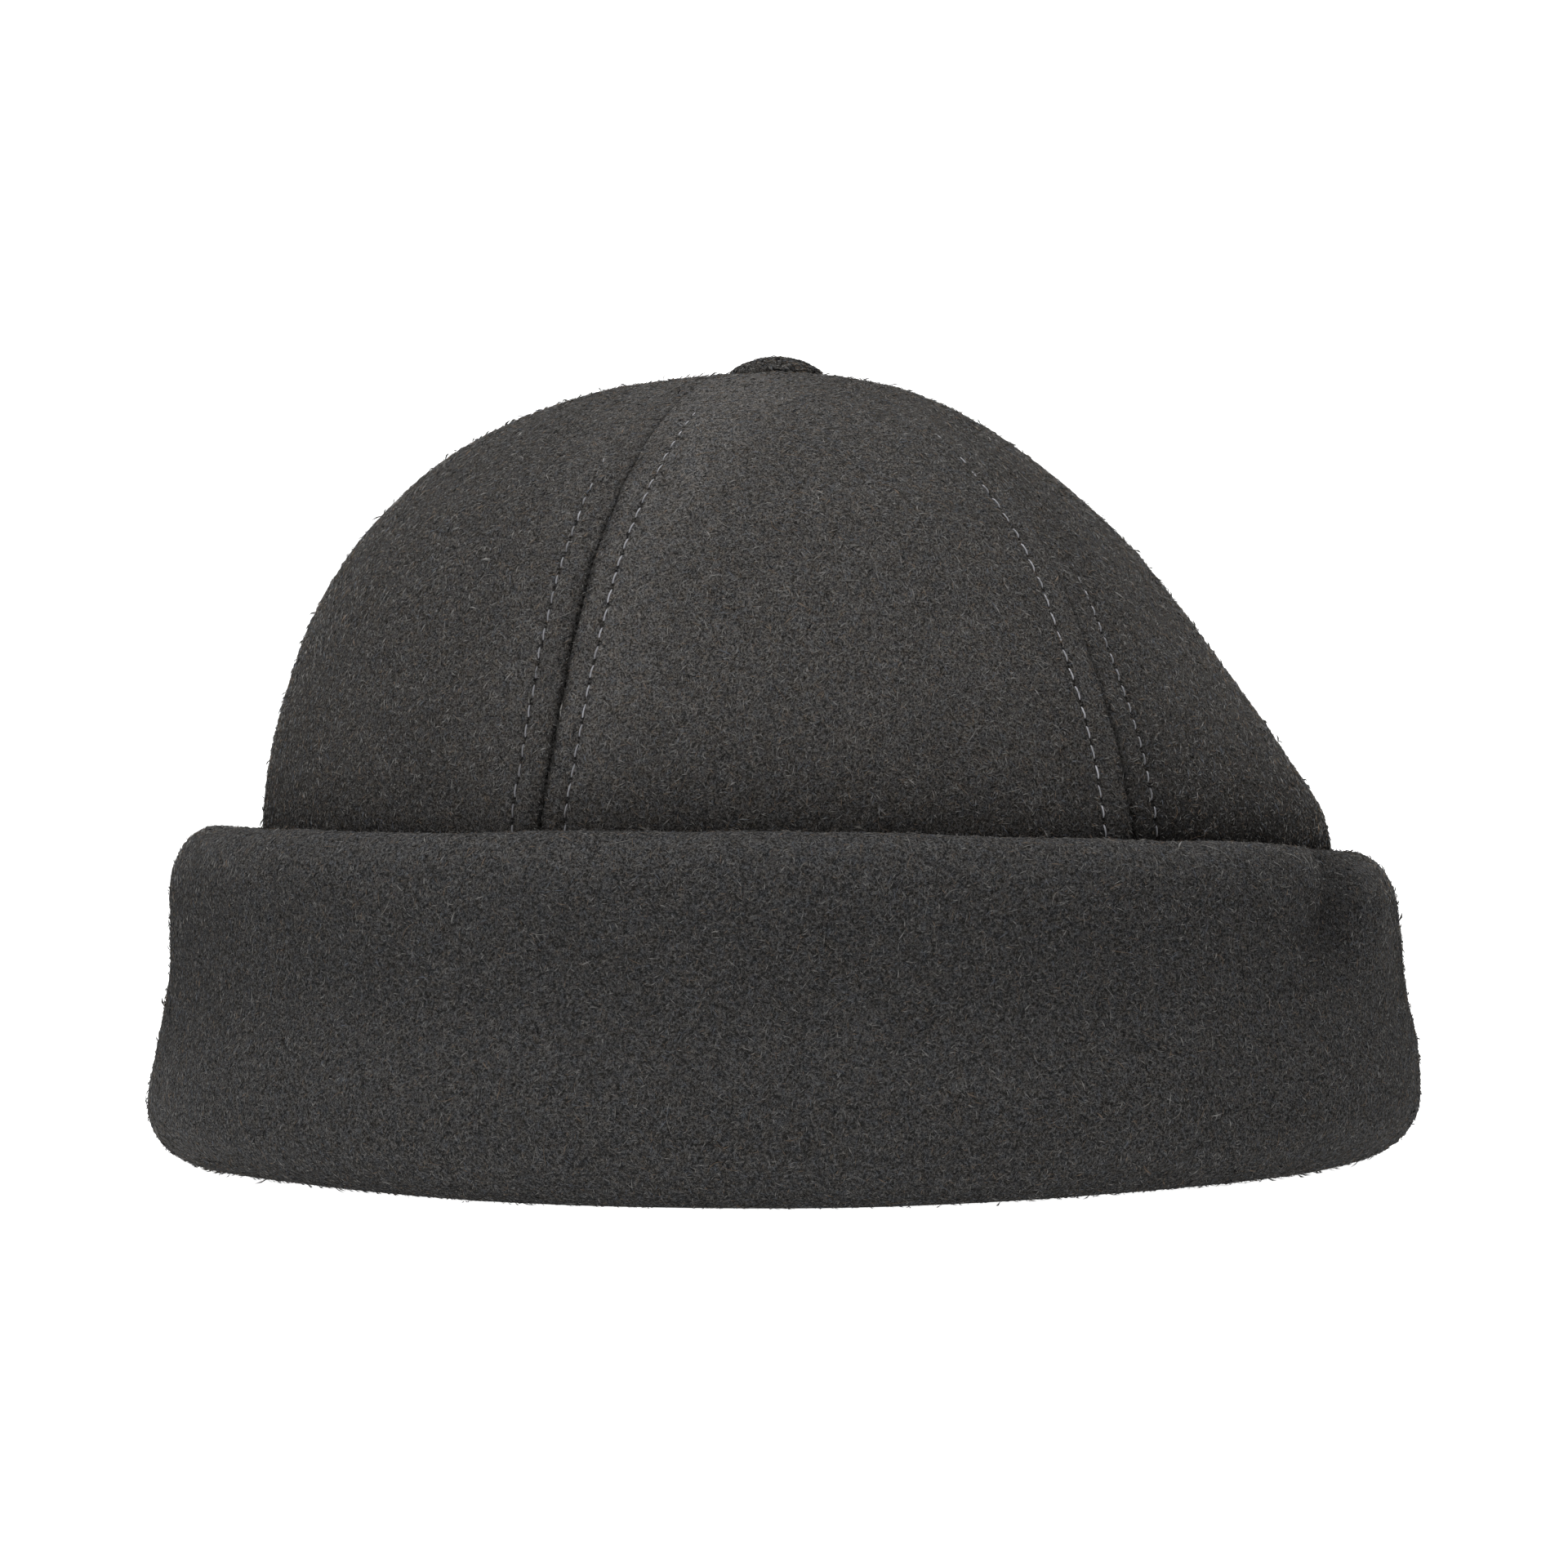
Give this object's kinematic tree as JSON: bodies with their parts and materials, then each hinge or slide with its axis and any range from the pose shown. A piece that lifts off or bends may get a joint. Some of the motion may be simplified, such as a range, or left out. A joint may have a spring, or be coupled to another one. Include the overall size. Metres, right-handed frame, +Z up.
{
  "type": "wool cap",
  "caption": "Brimless cap of felted wool cloth: a panelled dome with a covered button on top and a wide turned-up cuff, open below for the head.",
  "frame": {"origin": "middle of the cap's box, on the surface that the turned-up cuff rests on", "axes": "+Z up towards the button, -X towards the front of the head, +X towards the back, -Y towards the wearer's left ear"},
  "size_m": [0.2402, 0.2062, 0.1534],
  "materials": {
    "crown_wool": "matte felted wool",
    "cuff_wool": "matte felted wool"
  },
  "bodies": {
    "root": {"crown_panel_back_left": "crown_wool", "crown_panel_side_left": "crown_wool", "crown_panel_front_left": "crown_wool", "crown_panel_back_right": "crown_wool", "crown_panel_side_right": "crown_wool", "crown_panel_front_right": "crown_wool", "turned_up_cuff": "cuff_wool", "top_button": "crown_wool"}
  },
  "joints": []
}
